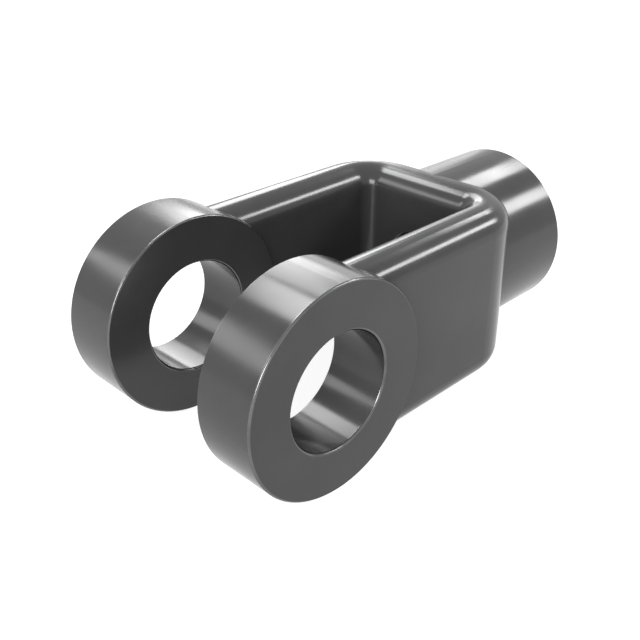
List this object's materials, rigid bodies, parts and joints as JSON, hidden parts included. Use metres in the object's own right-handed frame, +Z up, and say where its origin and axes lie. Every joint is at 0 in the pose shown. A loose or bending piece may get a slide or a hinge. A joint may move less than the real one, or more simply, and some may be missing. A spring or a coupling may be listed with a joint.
{
  "type": "clevis",
  "caption": "Forged steel clevis for the end of a tension rod: round ears with a pin bore, a U-shaped strap and a round shank that is drilled and tapped for the rod.",
  "frame": {"origin": "on the pin bore's axis, midway between the two ears", "axes": "+X along the rod, from the pin towards the shank's end; +Y along the pin, from the near ear to the far ear; +Z up, square to both"},
  "size_m": [0.0858, 0.0442, 0.035],
  "materials": {
    "dark_steel": "smooth forged and machined steel, dark grey with a soft satin sheen"
  },
  "bodies": {
    "root": {"clevis": "dark_steel"}
  },
  "joints": []
}
